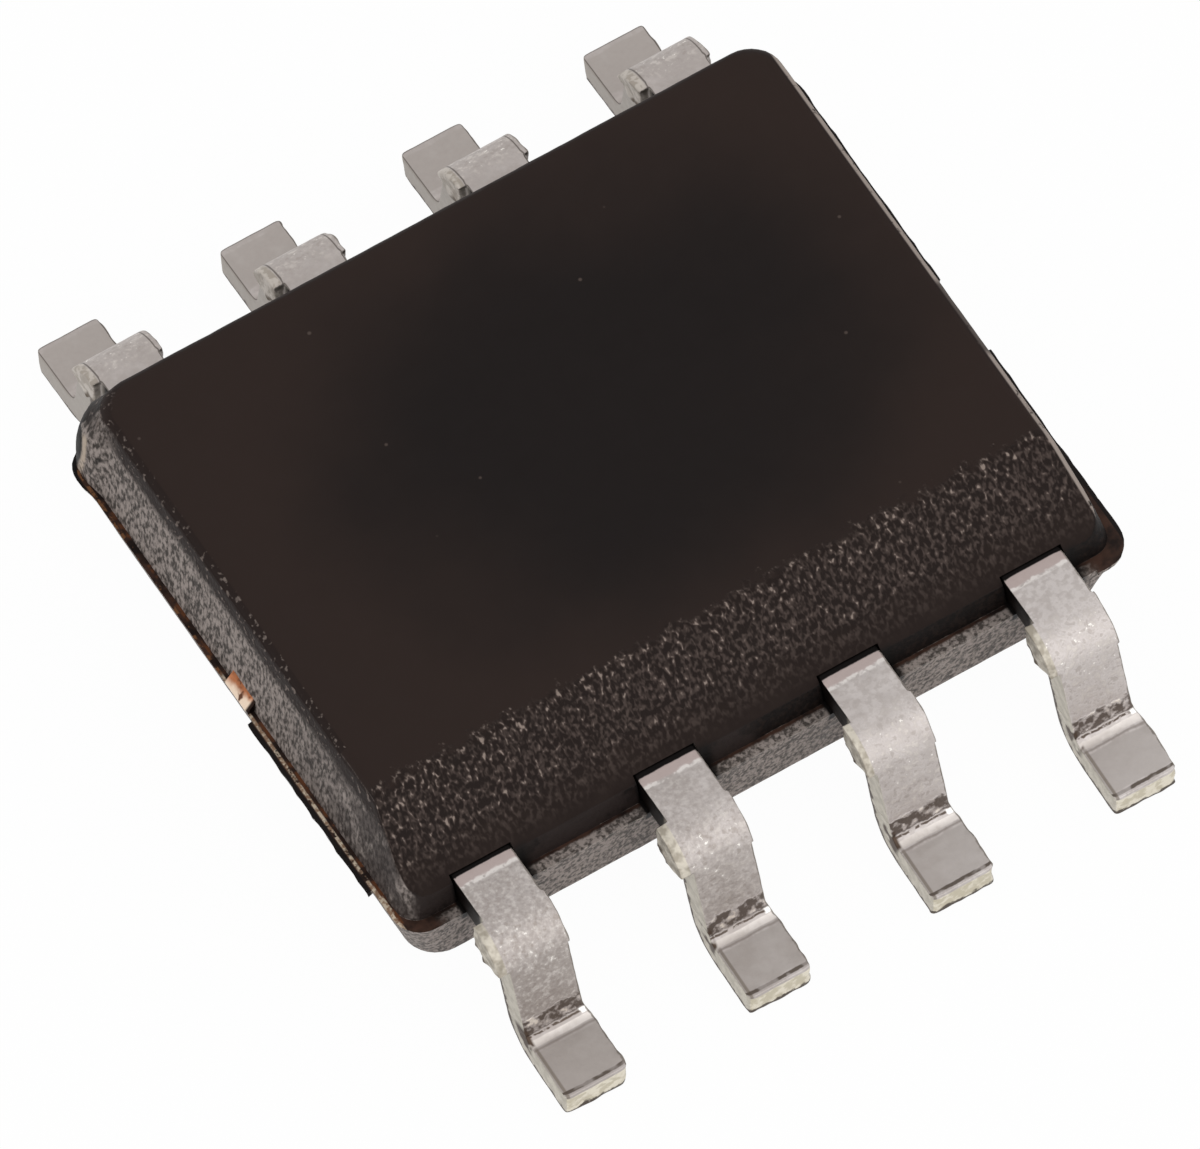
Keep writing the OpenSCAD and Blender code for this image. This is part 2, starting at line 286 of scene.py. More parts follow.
paper = bpy.data.materials.new("paper")
paper.use_nodes = True
tree = paper.node_tree
matt = tree.nodes["Principled BSDF"]
matt.inputs["Base Color"].default_value = (PAPER_WHITE, PAPER_WHITE, PAPER_WHITE, 1)
matt.inputs["Roughness"].default_value = 0.9
matt.inputs["Specular IOR Level"].default_value = 0.0
shine = tree.nodes.new("ShaderNodeEmission")
shine.inputs["Strength"].default_value = 1.0
share = tree.nodes.new("ShaderNodeMath")
share.operation = "MULTIPLY"
share.inputs[1].default_value = PAPER_SHINE
tree.links.new(seen_directly(tree), share.inputs[0])
blend = tree.nodes.new("ShaderNodeMixShader")
tree.links.new(share.outputs[0], blend.inputs[0])
tree.links.new(matt.outputs[0], blend.inputs[1])
tree.links.new(shine.outputs[0], blend.inputs[2])
tree.links.new(blend.outputs[0], tree.nodes["Material Output"].inputs["Surface"])
floor_mesh.materials.append(paper)

# %% [markdown]
# ## Shader sums in plain Python
#
# A finish is a sum over masks: how far down the bevel, how near the toe, how much grain.
# Wiring each Math node by hand hides that sum. The small class below wraps one output
# socket, so `1 - mask * grain` adds the nodes itself. Every other node comes from one
# method, which takes the node's type, its settings, and what goes into its sockets.

# %% One class for shader sums
class Signal:
    """One node's output. Python's operators on it add Math nodes to its material."""

    def __init__(self, socket):
        self.socket = socket

    def node(self, kind, settings, values, output=0):
        """Add a node: its type, its settings, then the values or links of its sockets."""
        tree = self.socket.id_data
        made = tree.nodes.new("ShaderNode" + kind)
        for name, value in settings.items():
            setattr(made, name, value)
        for name, value in values.items():
            if isinstance(value, Signal):
                tree.links.new(value.socket, made.inputs[name])
            else:
                made.inputs[name].default_value = value
        return Signal(made.outputs[output])

    def math(self, operation, *numbers):
        """A Math node, fed with signals and plain numbers."""
        return self.node("Math", {"operation": operation}, dict(enumerate(numbers)))

    def __add__(self, other): return self.math("ADD", self, other)
    def __radd__(self, other): return self.math("ADD", other, self)
    def __sub__(self, other): return self.math("SUBTRACT", self, other)
    def __rsub__(self, other): return self.math("SUBTRACT", other, self)
    def __mul__(self, other): return self.math("MULTIPLY", self, other)
    def __rmul__(self, other): return self.math("MULTIPLY", other, self)
    def __truediv__(self, other): return self.math("DIVIDE", self, other)
    def __abs__(self): return self.math("ABSOLUTE", self)

    def either(self, other):
        """The larger of two masks."""
        return self.math("MAXIMUM", self, other)

    def rise(self, start, end):
        """0 before start, 1 after end, and a soft step between them."""
        return self.node("MapRange", {"interpolation_type": "SMOOTHSTEP"},
                         {"Value": self, "From Min": start, "From Max": end})

    def band(self, start, end, soft):
        """1 between start and end, fading out over soft on both sides."""
        return self.rise(start - soft, start + soft) * (1 - self.rise(end - soft, end + soft))

    def paint(self, low, high):
        """Colour low where this mask is 0, high where it is 1: signals, or chart's numbers."""
        low, high = (c if isinstance(c, Signal) else chart(*c) for c in (low, high))
        return self.node("Mix", {"data_type": "RGBA"}, {0: self, 6: low, 7: high}, output=2)

    def scaled(self, *factors):
        """A vector with its x, y and z multiplied: it draws out what is painted by it."""
        return self.node("VectorMath", {"operation": "MULTIPLY"}, {0: self, 1: factors})

    def noise(self, scale, detail=2.0, roughness=0.5, distortion=0.0):
        """Cloudy noise at this place, about 0.5 on average, with scale blotches a millimetre."""
        return self.node("TexNoise", {}, {"Vector": self, "Scale": scale, "Detail": detail,
                                          "Roughness": roughness, "Distortion": distortion})

    def shaken(self, by, amount):
        """This signal plus noise round 0, so that the edge of a mask made of it wanders."""
        return self + (by - 0.5) * amount

    def split(self):
        """A vector's x, y and z."""
        parts = self.node("SeparateXYZ", {}, {0: self}).socket.node
        return [Signal(part) for part in parts.outputs]


def chart(red, green, blue):
    """A colour as a paint chart gives it, 0 to 255, in the linear light that shaders use."""
    def linear(value):
        value /= 255
        return value / 12.92 if value <= 0.04045 else ((value + 0.055) / 1.055) ** 2.4
    return linear(red), linear(green), linear(blue), 1.0


def new_finish(name):
    """A new material, and signals for the place in millimetres and the way the surface faces."""
    material = bpy.data.materials.new(name)
    material.use_nodes = True
    lookup = material.node_tree.nodes.new("ShaderNodeTexCoord")
    place = Signal(lookup.outputs["Object"])
    place = place.node("VectorMath", {"operation": "SCALE"}, {0: place, "Scale": 1 / MM})
    return material, place, Signal(lookup.outputs["Normal"])


def lay_on(material, constants, varying, height, depth):
    """Set the shader: plain numbers, signals, and a bump of this depth in millimetres."""
    tree = material.node_tree
    shader = tree.nodes["Principled BSDF"]
    for name, value in constants.items():
        shader.inputs[name].default_value = value
    bump = height.node("Bump", {}, {"Height": height, "Distance": depth * MM})
    for name, signal in {**varying, "Normal": bump}.items():
        tree.links.new(signal.socket, shader.inputs[name])
    print(material.name, "has", len(tree.nodes), "nodes")

# %% [markdown]
# ## Moulding resin
#
# The body is epoxy filled with fused silica and a little carbon black. Where the mould was
# polished it comes out smooth and nearly black, with a brown cast that grows towards the
# rims. The bevel was left rough by the spark that cut the mould: fine worm tracks cover it
# and thin out towards the leads, and their pale tops are painted glints. The end walls are
# spark cut too. Their grey is painted sheen, the white surroundings seen at a grazing
# angle, over the resin's own mottled grain.
#
# One material paints all of it. Its masks come from the place on the body: how far down
# the bevel a point lies, which way the wall faces, how close the parting line is. A pair of
# numbers in `rise` says where a mask starts and where it is full, in millimetres for a
# place and from 0 to 1 for noise or for the way a wall faces. Each colour is laid over the
# ones before it, as a painter would work.

# %% Resin masks
resin, place, facing = new_finish("moulding resin")
x, y, z = place.split()
face_x, _, face_z = facing.split()

bevel_edge_y = upper_shift - upper_width / 2 + (top - parting) * math.tan(side_draft) + bevel_w
down_bevel = (bevel_edge_y - y + top - z) / math.sqrt(2)
bevel = y.rise(-1.0, -1.01) * face_z.rise(0.45, 0.6)       # and the strip of top next to it
steep = 1 - face_z.rise(0.46, 0.62)
above = z.rise(parting - 0.004, parting + 0.004)           # the upper half
left = x.rise(0.0, -0.1)

cloud = place.noise(0.9, 3, 0.55)
patchy = place.noise(6, 3, 0.6)
mottle = place.noise(13, 3, 0.65)
fine = place.noise(34, 2, 0.6)
soft = place.noise(24, 1, 0.5)
worms = place.scaled(1.0, 0.62, 0.62).noise(38, 1, 0.5, 0.3)
pits = place.scaled(1.0, 1.0, 0.5).noise(40, 2, 0.55)

# %% Resin colours: the top
DARKEST = 0.25          # x and y of the place where the top is blackest
away_x, away_y = x - DARKEST, y - DARKEST
from_darkest = away_x * away_x * 0.20 + away_y * away_y * 0.30
black = from_darkest.shaken(cloud, 0.8).rise(0.05, 1.1)
black = black.paint((23, 17, 16), (43, 32, 28))
brown = patchy.rise(0.35, 0.7).paint((29, 18, 14), (35, 25, 21))
skin = (bevel * down_bevel.rise(-0.02, 0.05)).paint(black, brown)

# %% Resin colours: the bevel's grain, with painted glints
depth = down_bevel.shaken(mottle, 0.16).shaken(patchy, 0.14)
started = bevel * depth.rise(-0.06, 0.0)
grain_zone = started * (1 - depth.rise(0.38, 0.54))
faint_zone = started * (1 - down_bevel.rise(0.50, 0.70))
lit_grain = worms.rise(0.40, 0.74)
near_edge = depth.rise(0.22, 0.04)
skin = (grain_zone * 0.8).paint(skin, (29, 20, 17))
# The grain's worm tracks are painted paler: painted glints on the real grain.
skin = (lit_grain * grain_zone.either(faint_zone * 0.55)).paint(skin, (82, 70, 65))
# Stronger painted glints, most near the top edge and to the left.
brightest_glints = (worms + 0.3 * mottle + 0.05 * near_edge + 0.04 * x.rise(0, -2)).rise(0.82, 0.96)
skin = (grain_zone * brightest_glints).paint(skin, (146, 131, 122))

# %% Resin colours: walls, with painted sheen and painted shade
sideways = 1 - face_z.rise(-0.6, -0.9)          # 0 on the underside, which stays calm and even
front = y.rise(-1.6, -1.8) * sideways
# The walls' grey is painted sheen, the white surroundings seen at a grazing angle. It has more
# contrast on the left and front walls and is lighter on the front. Its mottle is the resin's grain.
sheen_contrast = 0.3 + 0.7 * (left * sideways).either(front)
wall = (0.3 * mottle + 0.7 * pits).rise(0.38, 0.62)
wall = ((wall - 0.5) * sheen_contrast + 0.5 + 0.08 * front).paint((62, 56, 52), (158, 147, 141))
# Walls of the upper half that face front or back, and the back of the swollen corner, get painted
# shade instead.
shaded_wall = fine.rise(0.4, 0.7).paint((14, 9, 8), (30, 22, 19))
front_right = (1 - left) * y.rise(-1.4, -1.6)
front_above = above * (1 - abs(face_x).rise(0.35, 0.65)).either(front_right)

LUMP_X, LUMP_Y = -0.897, 0.442        # the way in which the corner beside lead 8 is swollen
towards_lump = LUMP_X * x + LUMP_Y * y
swollen = towards_lump.rise(2.78, 2.90)
over_lump = z.rise(LUMP_TOP - 0.05, LUMP_TOP + 0.05)
back_of_corner = above * swollen * (face_x - 0.16 * over_lump).rise(-0.93, -0.86)
skin = steep.paint(skin, front_above.either(back_of_corner).paint(wall, shaded_wall))
forward_shade = above * y.rise(-0.1, -1.6) * patchy.rise(0.28, 0.52)
skin = (steep * forward_shade * left * 0.8).paint(skin, (44, 36, 34))

# %% Resin colours: the rims of the top, with painted glints and a painted highlight
ragged = ((mottle - 0.5) * 0.14 + (pits - 0.5) * 0.16) * (0.35 + 0.65 * left)
under_rim = (z + ragged).rise(top - 0.19, top - 0.14) * (1 - bevel) * (1 - face_z.rise(0.93, 0.99))
skin = (under_rim * above * (1 - 0.75 * swollen)).paint(skin, (36, 26, 23))
# Painted glints: pale specks along the left end's rim. The same specks shine under the ledge.
glint_specks = (fine * 0.5 + soft * 0.5).rise(0.56, 0.65)
skin = (under_rim * glint_specks * x.rise(-2.15, -2.25)).paint(skin, (112, 101, 95))
# A painted highlight along the right end's rim, where it meets the white surroundings at a grazing
# angle.
from_edge = upper_length / 2 - (z - parting) * math.tan(end_draft) - x
rim_highlight = from_edge.rise(0.032, 0.020) * face_z.rise(0.25, 0.40) * z.rise(parting + 0.15, parting + 0.2)
rim_highlight = rim_highlight * y.rise(1.93, 1.86) * (1 - 0.8 * y.band(-0.71, -0.12, 0.04))
skin = (rim_highlight * mottle.rise(0.28, 0.44)).paint(skin, (158, 146, 138))

# %% Resin colours: the parting line, with a painted highlight on the ledge
ledge = abs(z - parting).rise(0.022, 0.012) * face_z.rise(0.5, 0.8)
reddish = patchy.rise(0.35, 0.65).paint((28, 19, 16), (70, 49, 40))
reddish = (x.rise(2.2, 2.3) * y.rise(-1.55, -1.40)).paint(reddish, (16, 12, 11))
skin = ledge.paint(skin, reddish)
# The ledge's front edge takes the walls' grey, with its painted sheen.
front_edge = y.shaken(mottle, 0.03).rise(-1.925, -1.945)
skin = (ledge * front_edge * (1 - abs(x).rise(2.15, 2.3))).paint(skin, wall)

outward = abs(x) - half_length
behind = y.rise(0.16, 0.22)
past_flash = outward.band(-0.034, -0.012, 0.004) * y.rise(-1.52, -1.58)
thread = outward.band(-0.020, 0.000, 0.004).either(past_flash) * left
# A painted highlight: the lit outer edge of the ledge on the left end, pale cream in front of the
# tie bar. Behind it the edge is brown-orange.
highlight = fine.rise(0.4, 0.6).paint((150, 122, 100), (214, 198, 176))
skin = (ledge * thread * (1 - behind) * mottle.rise(0.36, 0.46)).paint(skin, highlight)
skin = (ledge * thread * behind * mottle.rise(0.50, 0.58)).paint(skin, (122, 84, 56))
rusty = ledge * outward.band(-0.046, -0.024, 0.003) * left * patchy.rise(0.5, 0.6)
skin = rusty.paint(skin, (96, 58, 36))
on_flash = outward.rise(0.004, 0.010) * z.rise(parting - 0.05, parting - 0.04)
skin = on_flash.paint(skin, (20, 14, 12))

# %% Resin colours: the swollen corner's rim, with painted highlight and shade, and painted glints under the ledge
RIM = 3.06              # the rim of the swelling, measured along the way in which it swells
outermost = towards_lump + 0.13 * (z - parting)
corner = outermost.rise(RIM - 0.002, RIM + 0.006) * z.band(parting - 0.05, LUMP_TOP + 0.04, 0.02)
corner_edge = outermost.band(RIM - 0.020, RIM, 0.006)
corner_edge = corner_edge * z.band(parting + 0.01, LUMP_TOP + 0.15, 0.02)
corner_edge = corner_edge * face_x.rise(-0.86, -0.92)
# A painted highlight along the swelling's rim, on the side that faces left.
skin = (corner_edge * mottle.rise(0.34, 0.50)).paint(skin, (186, 170, 154))
# Painted shade on the outermost part of the swelling, where it turns away.
skin = corner.paint(skin, (14, 10, 9))
# Painted glints: pale specks on the lower wall just under the ledge.
under_ledge = abs(z - parting + 0.012).rise(0.025, 0.010) * steep * (1 - above)
skin = (under_ledge * glint_specks).paint(skin, (196, 184, 172))

# %% Resin colours: painted shadow round the leads, and stray specks
pitch = lead_x[4] - lead_x[3]
from_axis = x.math("PINGPONG", x - lead_x[3], pitch / 2)
# Painted shadow: black beside each lead where it leaves the body, and wider to the right of the
# front leads.
beside_lead = abs(from_axis - lead_w / 2).rise(0.034, 0.012) * abs(y).rise(1.85, 1.90)
from_right_edge = x.math("WRAP", x - (lead_x[1] + lead_w / 2), pitch, 0.0)
right_of_lead = from_right_edge.rise(0.13, 0.05) * y.rise(-1.85, -1.90)
hidden = beside_lead.either(right_of_lead) * z.band(parting - 0.10, lead_top + 0.02, 0.02)
skin = hidden.paint(skin, (12, 9, 8))
flecks = place.node("TexVoronoi", {}, {"Vector": place, "Scale": 2.4}).rise(0.040, 0.015)
skin = (flecks * face_z.rise(0.8, 0.95)).paint(skin, (78, 67, 62))

relief = fine * (0.10 + 0.6 * grain_zone.either(steep)) + worms * grain_zone + soft * 0.8 * steep
lay_on(resin, {"Specular IOR Level": 0.12, "IOR": 1.5},
       {"Base Color": skin, "Roughness": 0.50 + 0.16 * patchy}, relief, 0.006)

# %% [markdown]
# ## Tin plate
#
# The leads are copper alloy with a few micrometres of matt tin. Its grain scatters light,
# so it looks like pale pewter and not like a mirror. Forming leaves marks at fixed places
# along the strip: a stretched outer bend, crumpled plate inside the lower bend, and a foot
# pressed smooth. Light and shade are painted at fixed places along it as well: a highlight
# line by the body, glints on the outer bend, shade and the body's dark reflection on the
# crumpled plate, a pale reflection across the lower bend, dark lines along the edges, and
# more light on the front leads towards lead 4. The material therefore follows the strip,
# not the room. Each lead carries an attribute that gives the distance along the strip, the
# place across it and the height in it, wherever the strip has been bent to.

# %% Tin masks
tin, place, facing = new_finish("matt tin")
strip = Signal(tin.node_tree.nodes.new("ShaderNodeAttribute").outputs["Vector"])
strip.socket.node.attribute_name = "strip"
along, across, height = strip.split()
x, y, _ = place.split()
face_x = facing.split()[0]

drift = place.noise(7, 2)
crease = place.noise(16, 2, 0.6)
glitter = place.noise(22, 2, 0.6)
lumps = place.noise(13, 1, 0.5)
speckle = place.noise(32, 2, 0.6)
path = along.shaken(drift, 0.03)       # so that no mark ends in a straight line
front_row = y.rise(1, -1)
on_top = height.rise(lead_t - 0.03, lead_t - 0.02)
side = abs(face_x).rise(0.55, 0.85)
EDGE = lead_w / 2

# %% Tin colours: shoulder, outer bend and riser, with painted light
# Painted light: the front leads grow lighter towards lead 4. The back leads stay about as light as
# lead 1.
light_tilt = front_row * (x * 0.16 + 0.32) + 0.2
metal = (light_tilt + drift - 0.5).rise(0.1, 0.9).paint((178, 170, 166), (206, 199, 196))
metal = (glitter.rise(0.42, 0.62) * 0.5).paint(metal, (172, 163, 158))
metal = path.band(-0.2, 0.040, 0.01).paint(metal, (188, 173, 169))
# A painted highlight: a pale line across the strip, just out of the body.
streak_highlight = path.shaken(crease, 0.04).band(0.035, 0.062, 0.008) * crease.rise(0.40, 0.55)
metal = streak_highlight.paint(metal, (226, 220, 216))

stretched = path.band(0.34, 0.98, 0.08)
# Front leads in less of the painted light get fewer glints, more pits and specks, and painted shade
# on the riser.
less_lit = light_tilt.rise(0.65, 0.25) * front_row
# Painted glints on the stretched outer bend.
glitter_glints = stretched * glitter.rise(0.50, 0.68) * (0.7 - 0.3 * less_lit)
metal = glitter_glints.paint(metal, (210, 203, 197))
pitted = stretched * glitter.rise(0.47, 0.33) * (0.5 + 0.3 * less_lit)
metal = pitted.paint(metal, (158, 148, 141))
metal = (path.band(0.55, 0.98, 0.08) * less_lit * 0.55).paint(metal, (162, 153, 147))
sandy = path.band(0.06, 0.98, 0.03) * (0.12 + 0.42 * less_lit)
metal = (sandy * speckle.rise(0.50, 0.66)).paint(metal, (212, 206, 201))
metal = (sandy * speckle.rise(0.50, 0.34)).paint(metal, (154, 145, 140))
# Painted glints: white spots on the outer bend.
glint_spots = path.band(0.36, 0.70, 0.06) * speckle.rise(0.66, 0.74)
metal = glint_spots.paint(metal, (240, 236, 230))

# %% Tin colours: lower bend and foot, with painted shade, reflection and glints
# The crumpled plate inside the lower bend, in dark and pale blotches: partly its own wrinkles,
# partly painted shade with the body's dark reflection, and painted glints on the crests.
crumpled_and_shaded = path.shaken(crease, 0.09).band(0.985, 1.14, 0.014) * front_row
wrinkles = lumps * 0.5 + glitter * 0.5
metal = (crumpled_and_shaded * wrinkles.rise(0.58, 0.46) * 0.9).paint(metal, (88, 76, 68))
metal = (crumpled_and_shaded * wrinkles.rise(0.56, 0.64)).paint(metal, (224, 215, 205))
# A thin dark line across the lower bend.
thin_dark_line = path.shaken(crease, 0.05).band(1.165, 1.195, 0.008) * front_row
metal = (thin_dark_line * glitter.rise(0.62, 0.5)).paint(metal, (96, 84, 76))
# A painted reflection: a pale band across the lower bend, where it faces the white surroundings.
highlight = path.band(1.235, 1.33, 0.010) * (0.15 + 0.75 * front_row)
sheen = (across * 2 + glitter).rise(0.2, 0.9).paint((208, 200, 194), (228, 221, 216))
metal = highlight.paint(metal, sheen)
metal = (path.band(1.345, 1.362, 0.006) * front_row * 0.7).paint(metal, (146, 137, 131))
foot = path.band(1.375, TOE - 0.045, 0.008)
# The foot is pressed smooth. Its colour carries the same painted light, lighter towards lead 4.
pressed_and_lit = (light_tilt + drift - 0.5).rise(0.2, 0.8).paint((172, 164, 159), (184, 177, 173))
metal = foot.paint(metal, pressed_and_lit)
glint = across.shaken(crease, 0.06).rise(EDGE - 0.050, EDGE - 0.035)
glint = glint * path.band(1.15, 1.225, 0.012) * front_row
metal = glint.paint(metal, (255, 253, 250))

# %% Tin colours: painted shade in dark lines along the edges
# Painted shade: dark lines along the rounded edges of the foot, the toe, the right side and the
# back leads, where the edges turn from the light.
left_line = across.band(-EDGE + 0.008, -EDGE + 0.030, 0.005)
left_line = left_line * on_top * path.rise(1.30, 1.38) * front_row
metal = (left_line * 0.8).paint(metal, (128, 118, 108))
toe_line = along.shaken(crease, 0.016).band(TOE - 0.042, TOE - 0.018, 0.004) * on_top * front_row
metal = (toe_line * (0.45 + 0.5 * lumps.rise(0.40, 0.55))).paint(metal, (92, 82, 74))
right_reach = STUMP_RIGHT + front_row * (FRONT_STUMP_RIGHT - STUMP_RIGHT)
outer_edge = EDGE + right_reach * along.band(STUMP_START, STUMP_END, 0.006)
right_line = (across - outer_edge).shaken(crease, 0.02).rise(-0.010, -0.003) * on_top
metal = (right_line * 0.8).paint(metal, (118, 110, 102))
back_line = abs(across).band(EDGE - 0.009, EDGE + 0.001, 0.002)
back_line = back_line.either(along.rise(TOE - 0.016, TOE - 0.008))
metal = (back_line * on_top * (1 - front_row) * 0.8).paint(metal, (92, 85, 79))

# %% Tin colours: sides, sheared faces and painted shade
flank = crease.rise(0.35, 0.65).paint((184, 178, 166), (204, 198, 186))
metal = side.paint(metal, front_row.paint((168, 161, 154), flank))
# Painted shade in the inner corner of the lower bend, along the left edge.
inner_corner_shade = path.band(1.06, 1.32, 0.03) * across.rise(-EDGE + 0.035, -EDGE + 0.015) * front_row
inner_corner_shade = inner_corner_shade * height.rise(0.08, 0.12)
metal = (inner_corner_shade * lumps.rise(0.62, 0.46)).paint(metal, (84, 70, 60))
in_shade = side * along.rise(0.31, 0.25) * face_x.rise(0, -0.1)
metal = in_shade.paint(metal, (24, 18, 16))
toe_face = (1 - on_top) * path.rise(TOE - 0.02, TOE - 0.01) * (1 - side)
clean_cut = crease.rise(0.4, 0.6).paint((200, 192, 172), (226, 219, 203))
metal = toe_face.paint(metal, clean_cut)
# Painted shade along the lower edges of the sides and the toe face, with a ragged border.
near_bottom = height.shaken(crease, 0.09).rise(0.046, 0.026)
lower_edge_shade = near_bottom * side.either(toe_face) * path.rise(0.3, 0.4)
metal = lower_edge_shade.paint(metal, (84, 74, 66))

# %% Tin colours: the dam bar's stumps, and painted shadow in the slots
stump = across.rise(-EDGE - 0.004, -EDGE - 0.014)
front_cut = crease.rise(0.35, 0.65).paint((160, 152, 139), (204, 197, 184))
metal = stump.paint(metal, front_cut)
back_cut = crease.rise(0.45, 0.55).paint((166, 157, 148), (192, 184, 177))
metal = (stump * front_row.rise(0.6, 0.4) * 0.8).paint(metal, back_cut)
metal = (stump * height.shaken(crease, 0.05).rise(0.06, 0.02)).paint(metal, (92, 78, 62))
# Painted shadow: the lead is black inside its slot in the body.
slot_shadow = along.shaken(crease, 0.01).rise(-0.022, -0.034)
metal = slot_shadow.paint(metal, (14, 10, 9))

relief = glitter * (0.2 + 0.8 * stretched) + crumpled_and_shaded * crease * 2
lay_on(tin, {"Metallic": 0.85}, {"Base Color": metal, "Roughness": 0.42 + 0.2 * speckle},
       relief, 0.006)

# %% [markdown]
# ## From a bmesh to a piece
#
# Every new piece ends the same way. Its points go from millimetres to metres, its flat and
# curved places shade smoothly up to a limit of angle, and it joins the body that carries it
# in place of its solid. A closed piece has no open edge, so that number is printed as well.

# %% Finish a piece
def make_piece(name, bm, node, material, crease=30):
    """Turn the bmesh into an object that stands for the node and carries the material."""
    bmesh.ops.scale(bm, vec=(MM, MM, MM), verts=bm.verts[:])
    for face in bm.faces:
        face.smooth = True
    for edge in bm.edges:
        edge.smooth = edge.calc_face_angle(0) < math.radians(crease)
    mesh = bpy.data.meshes.new(name)
    bm.to_mesh(mesh)
    bm.free()
    mesh.materials.append(material)
    piece = bpy.data.objects.new(name, mesh)
    scene.collection.objects.link(piece)
    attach(piece, "root")
    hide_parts(node)
    print(f"{name}: {len(mesh.polygons)} faces")
    return piece


def report(name, bm):
    """Print how many faces a mesh has, and how many of its edges are open."""
    open_edges = sum(not e.is_manifold for e in bm.edges)
    print(f"{name}: {len(bm.faces)} faces, {open_edges} open edges")


def cut_through(bm, point, normal):
    """Score every face along a plane."""
    bmesh.ops.bisect_plane(bm, geom=bm.verts[:] + bm.edges[:] + bm.faces[:],
                           plane_co=point, plane_no=normal)


def cut_off(bm, point, normal):
    """Cut away what lies beyond a plane, and return the edges of the opening."""
    made = bmesh.ops.bisect_plane(bm, geom=bm.verts[:] + bm.edges[:] + bm.faces[:],
                                  plane_co=point, plane_no=normal, clear_outer=True)
    return [part for part in made["geom_cut"] if isinstance(part, bmesh.types.BMEdge)]


def extrude(bm, faces):
    """Pull new faces out of old ones, and return the new points and the new faces."""
    made = bmesh.ops.extrude_face_region(bm, geom=faces)["geom"]
    bmesh.ops.delete(bm, geom=faces, context="FACES")
    return ([part for part in made if isinstance(part, bmesh.types.BMVert)],
            [part for part in made if isinstance(part, bmesh.types.BMFace)])

# %% [markdown]
# ## The moulded body
#
# A mould half is a shallow pocket with sloping walls, so that the body can be pushed out.
# The body is modelled the same way: level loops, each a rectangle with rounded corners,
# bridged from the underside to the top. The lower half is a little wider than the upper one,
# and the upper one sits a little towards leads 5 to 8, because the two moulds never meet
# exactly. The corners are tight at the parting line and rounder at the flat ends.

# %% Loops, bridged into a body
LOWER_CORNER_R = 0.19          # at the parting line
UPPER_CORNER_R = 0.14
END_CORNER_R = 0.22            # at the underside and the top
CORNER_STEPS = 8
RIM_STEPS = 4                  # levels in the rounded rim of a flat end


def level_loop(bm, length, width, radius, shift, z):
    """A level loop of edges: a rectangle with rounded corners."""
    square = bmesh.ops.create_grid(bm, x_segments=1, y_segments=1, size=0.5)["verts"]
    bmesh.ops.scale(bm, vec=(length, width, 1), verts=square)
    bmesh.ops.translate(bm, vec=(0, shift, z), verts=square)
    rounded = bmesh.ops.bevel(bm, geom=square, affect="VERTICES", offset=radius,
                              segments=CORNER_STEPS, profile=0.5, material=-1)
    face = rounded["verts"][0].link_faces[0]
    edges = list(face.edges)
    bmesh.ops.delete(bm, geom=[face], context="FACES_ONLY")
    return edges


def half_levels(height, draft_x, draft_y, corner_r):
    """Insets, corner radius and height of each level, from the parting line to the flat end."""
    yield 0, 0, corner_r, 0
    for step in range(RIM_STEPS + 1):
        turned = math.pi / 2 * step / RIM_STEPS
        h = height - rim_r * (1 - math.sin(turned))
        inset = rim_r * (1 - math.cos(turned))
        yield (h * math.tan(draft_x) + inset, h * math.tan(draft_y) + inset,
               END_CORNER_R - inset / 2, h)


skin = bmesh.new()
loops = []
lower_half = half_levels(parting - standoff, lower_draft, lower_draft, LOWER_CORNER_R)
for inset_x, inset_y, radius, h in reversed(list(lower_half)):
    loops.append(level_loop(skin, 2 * (half_length - inset_x), 2 * (half_width - inset_y),
                            radius, 0, parting - h))
upper_half = half_levels(top - parting, end_draft, side_draft, UPPER_CORNER_R)
for inset_x, inset_y, radius, h in upper_half:
    loops.append(level_loop(skin, upper_length - 2 * inset_x, upper_width - 2 * inset_y,
                            radius, upper_shift, parting + h))
for lower, upper in zip(loops, loops[1:]):
    bmesh.ops.bridge_loops(skin, edges=lower + upper)
for loop in (loops[0], loops[-1]):
    bmesh.ops.contextual_create(skin, geom=loop)
bmesh.ops.recalc_face_normals(skin, faces=skin.faces[:])
report("body", skin)

# %% [markdown]
# The bevel along leads 1 to 4 tells which end is which when the part is placed. It is one
# straight cut at 45 degrees. The open loop that the cut leaves is filled with one face, and
# its edges are rounded a little, as wear on the mould rounds them.

# %% The bevel
BEVEL_EDGE_R = 0.022
rim_edges = cut_off(skin, (0, bevel_edge_y, top), (0, -1, 1))
bmesh.ops.contextual_create(skin, geom=rim_edges)
bmesh.ops.bevel(skin, geom=rim_edges, affect="EDGES", offset=BEVEL_EDGE_R, segments=3,
                profile=0.5, material=-1, clamp_overlap=True)
report("body with bevel", skin)

# %% [markdown]
# Each lead leaves the body through a slot that the resin fills almost to the metal. The
# resin shrinks a hair when it sets, and that hair shows as a black line round the lead.
# So the wall is scored round each lead and the patch inside is pushed in.

# %% Slots for the leads
SLOT_GAP = 0.010
SLOT_DEPTH = 0.12
for x_lead in sorted(set(lead_x.values())):
    for edge_x in (-1, 1):
        cut_through(skin, (x_lead + edge_x * (lead_w / 2 + SLOT_GAP), 0, 0), (1, 0, 0))
cut_through(skin, (0, 0, lead_top + SLOT_GAP), (0, 0, 1))

for n in LEADS:
    patch = [f for f in skin.faces
             if f.normal.y * row_side[n] > 0.5
             and parting < f.calc_center_median().z < lead_top + SLOT_GAP
             and abs(f.calc_center_median().x - lead_x[n]) < lead_w / 2 + SLOT_GAP]
    points, _ = extrude(skin, patch)
    bmesh.ops.translate(skin, vec=(0, -row_side[n] * SLOT_DEPTH, 0), verts=points)
report("body with slots", skin)

